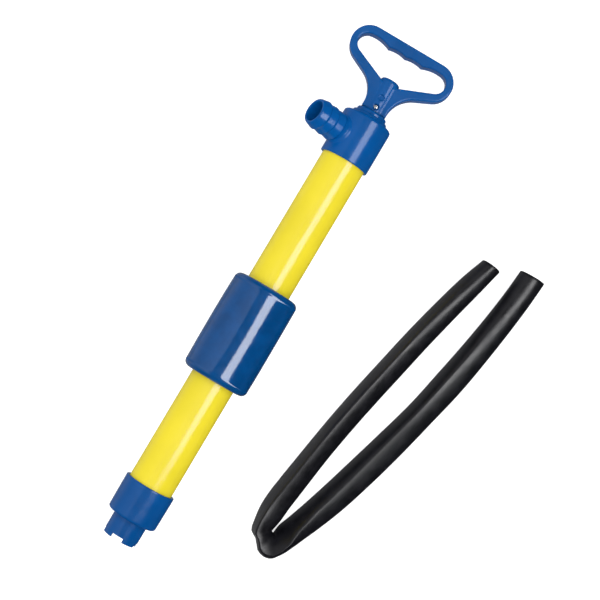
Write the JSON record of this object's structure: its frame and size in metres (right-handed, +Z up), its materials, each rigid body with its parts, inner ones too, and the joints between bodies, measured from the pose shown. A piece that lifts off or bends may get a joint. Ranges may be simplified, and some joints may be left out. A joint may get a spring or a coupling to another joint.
{
  "type": "bilge pump",
  "caption": "Hand bilge pump with barbed side spout, D-handled piston, sliding foam float and loose discharge hose.",
  "frame": {"origin": "on the ground under the middle of the pump's own box, hose left out, with the pump lying down", "axes": "+X runs along the pump towards the handle, which lies 2.7 degrees lower than level; +Y is the spout's side; +Z is up"},
  "size_m": [0.4652, 0.2408, 0.0616],
  "materials": {
    "tube_plastic": "glossy extruded yellow plastic",
    "cap_plastic": "glossy moulded blue plastic",
    "handle_plastic": "satin moulded blue plastic",
    "float_foam": "blue foam with a smooth glossy skin",
    "rod_plastic": "smooth white plastic tube",
    "inner_plastic": "satin natural plastic",
    "seal_rubber": "soft black rubber",
    "hose_rubber": "soft black hose with a satin sheen",
    "screw_steel": "bright stainless steel"
  },
  "bodies": {
    "pump_body": {"barrel_tube": "tube_plastic", "top_cap": "cap_plastic", "rod_guide": "cap_plastic", "rod_seal": "seal_rubber", "seal_retainer": "inner_plastic", "foot_cap": "cap_plastic", "valve_seat": "inner_plastic", "intake_valve_pin": "inner_plastic"},
    "float": {"foam_float": "float_foam"},
    "seal_carrier": {"piston_ring": "seal_rubber"},
    "plunger": {"rod_tube": "rod_plastic", "rod_top_plug": "inner_plastic", "rod_end_plug": "inner_plastic", "piston_skirt": "inner_plastic", "piston_head": "inner_plastic", "valve_stop": "inner_plastic", "piston_screw": "screw_steel", "handle": "handle_plastic", "handle_screw": "screw_steel"},
    "upper_valve": {"piston_valve": "seal_rubber"},
    "lower_valve": {"intake_valve": "seal_rubber"},
    "hose": {"discharge_hose": "hose_rubber"}
  },
  "joints": [
    {"name": "pump_stroke", "type": "slide", "parent": "pump_body", "child": "seal_carrier", "axis": [0.9989, 0, -0.0467], "range_m": [0, 0.305]},
    {"name": "handle_spin", "type": "hinge", "parent": "seal_carrier", "child": "plunger", "pos_m": [-0.18701, 0, 0.03762], "axis": [0.9989, 0, -0.0467], "continuous": true},
    {"name": "upper_valve_lift", "type": "slide", "parent": "plunger", "child": "upper_valve", "axis": [0.9989, 0, -0.0467], "range_m": [0, 0.0035], "stiffness_N_per_m": 20},
    {"name": "lower_valve_lift", "type": "slide", "parent": "pump_body", "child": "lower_valve", "axis": [0.9989, 0, -0.0467], "range_m": [0, 0.0035], "stiffness_N_per_m": 20},
    {"name": "float_slide", "type": "slide", "parent": "pump_body", "child": "float", "axis": [0.9989, 0, -0.0467], "range_m": [-0.097, 0.119]},
    {"name": "hose_lift", "type": "slide", "parent": "pump_body", "child": "hose", "axis": [0, 0, 1], "range_m": [0, 0.3]}
  ]
}
